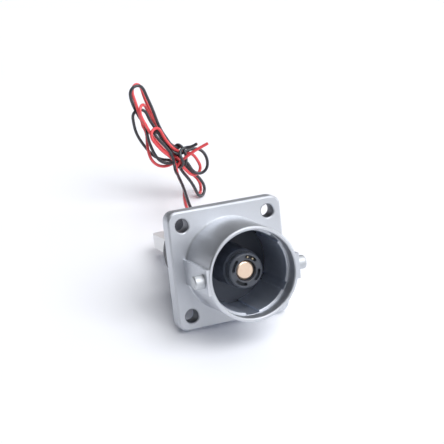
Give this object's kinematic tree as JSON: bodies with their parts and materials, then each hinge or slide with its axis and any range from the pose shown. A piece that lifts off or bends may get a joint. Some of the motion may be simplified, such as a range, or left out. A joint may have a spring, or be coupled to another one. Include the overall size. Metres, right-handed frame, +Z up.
{
  "type": "single-pole panel receptacle",
  "caption": "Square-flange panel receptacle with a round keyed shroud, coupling pins, a touch-guarded centre contact, a flat busbar terminal and a tied interlock lead.",
  "frame": {"origin": "centre of the flange's rear face, which meets the panel", "axes": "-Y is the mating direction, out of the shroud; +Y runs along the busbar terminal behind the panel; +Z up; X across the flange"},
  "size_m": [0.0655, 0.1549, 0.096],
  "materials": {
    "shell_cast": "satin die casting",
    "pin_steel": "ground steel",
    "black_plastic": "moulded, matt",
    "guard_plastic": "moulded, semi-gloss",
    "seal_rubber": "moulded rubber",
    "contact_copper": "polished copper alloy",
    "silver_plate": "silver-plated copper",
    "gold_plate": "gold-plated",
    "plain_steel": "zinc-plated steel",
    "wire_red": "extruded insulation, satin",
    "wire_black": "extruded insulation, satin"
  },
  "bodies": {
    "root": {"shell": "shell_cast", "coupling_pin_left": "pin_steel", "coupling_pin_right": "pin_steel", "flange_seal": "seal_rubber", "front_insulator": "black_plastic", "insulator_seal": "seal_rubber", "retaining_ring": "plain_steel", "touch_guard": "guard_plastic", "contact_pin": "contact_copper", "contact_seal": "seal_rubber", "spring_washer": "plain_steel", "busbar_terminal": "silver_plate", "rear_insulator": "black_plastic", "housing_screws": "plain_steel", "interlock_contact_red": "gold_plate", "interlock_contact_black": "gold_plate", "wire_grommet": "seal_rubber", "interlock_wire_red": "wire_red", "interlock_wire_black": "wire_black", "wire_hank": "wire_red"}
  },
  "joints": []
}
